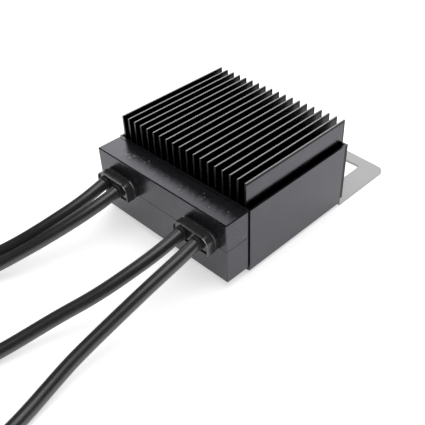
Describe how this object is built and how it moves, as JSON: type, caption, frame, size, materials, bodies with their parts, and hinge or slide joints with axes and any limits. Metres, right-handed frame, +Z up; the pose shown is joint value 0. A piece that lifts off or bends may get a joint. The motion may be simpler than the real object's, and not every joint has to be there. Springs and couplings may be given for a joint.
{
  "type": "power optimizer",
  "caption": "Black converter box for solar panels, with a finned heat sink on top, a grey mounting plate below and cable glands with leads on its front.",
  "frame": {"origin": "under the middle of the box that holds the object without its leads", "axes": "+Z up out of the mounting plate towards the fins, +Y from the cable glands to the plate's tab, +X across"},
  "size_m": [0.1482, 0.4236, 0.0594],
  "materials": {
    "black_anodised": "black anodised, satin",
    "housing_black": "fine matt texture",
    "cover_black": "powder coated, satin",
    "plate_grey": "light grey, matt",
    "gland_black": "satin",
    "lead_jacket": "satin",
    "sleeve_rubber": "matt",
    "seal_rubber": "matt",
    "connector_black": "satin",
    "screw_steel": "zinc plated",
    "board_green": "solder mask",
    "chip_black": "moulded",
    "pad_grey": "soft",
    "ferrite": "matt",
    "copper": "bare and enamelled copper",
    "contact_metal": "tin plated",
    "can_metal": "satin",
    "film_yellow": "gloss",
    "shunt_metal": "bare",
    "tie_strap": "soft, matt"
  },
  "bodies": {
    "root": {"board_screws": "screw_steel", "choke_core": "ferrite", "choke_winding": "copper", "circuit_board": "board_green", "coil_3": "lead_jacket", "coil_4": "lead_jacket", "connector_body_1": "connector_black", "connector_body_2": "connector_black", "connector_body_3": "connector_black", "connector_body_4": "connector_black", "connector_contact_1": "contact_metal", "connector_contact_2": "contact_metal", "connector_contact_3": "contact_metal", "connector_contact_4": "contact_metal", "connector_nut_1": "connector_black", "connector_nut_2": "connector_black", "connector_nut_3": "connector_black", "connector_nut_4": "connector_black", "control_chip": "chip_black", "current_shunt": "shunt_metal", "driver_chip_left": "chip_black", "driver_chip_right": "chip_black", "gland_cap_left": "gland_black", "gland_cap_right": "gland_black", "gland_clamp_left": "gland_black", "gland_clamp_right": "gland_black", "heat_sink": "black_anodised", "inductor_core_left": "ferrite", "inductor_core_right": "ferrite", "inductor_winding_left": "copper", "inductor_winding_right": "copper", "input_capacitor_1": "film_yellow", "input_capacitor_2": "film_yellow", "lead_1": "lead_jacket", "lead_2": "lead_jacket", "lead_3": "lead_jacket", "lead_4": "lead_jacket", "lead_ends": "lead_jacket", "lead_sleeves": "sleeve_rubber", "lower_shell": "housing_black", "mounting_plate": "plate_grey", "output_capacitor_1": "can_metal", "output_capacitor_2": "can_metal", "output_capacitor_3": "can_metal", "output_capacitor_4": "can_metal", "plate_screws": "screw_steel", "power_transistor_1": "chip_black", "power_transistor_2": "chip_black", "power_transistor_3": "chip_black", "power_transistor_4": "chip_black", "shell_screws": "screw_steel", "shell_seal": "seal_rubber", "sink_screws": "screw_steel", "sink_seal": "seal_rubber", "terminal_posts": "contact_metal", "thermal_pad": "pad_grey", "tie_3": "tie_strap", "tie_4": "tie_strap", "upper_shell": "housing_black", "wrap_cover": "cover_black"}
  },
  "joints": []
}
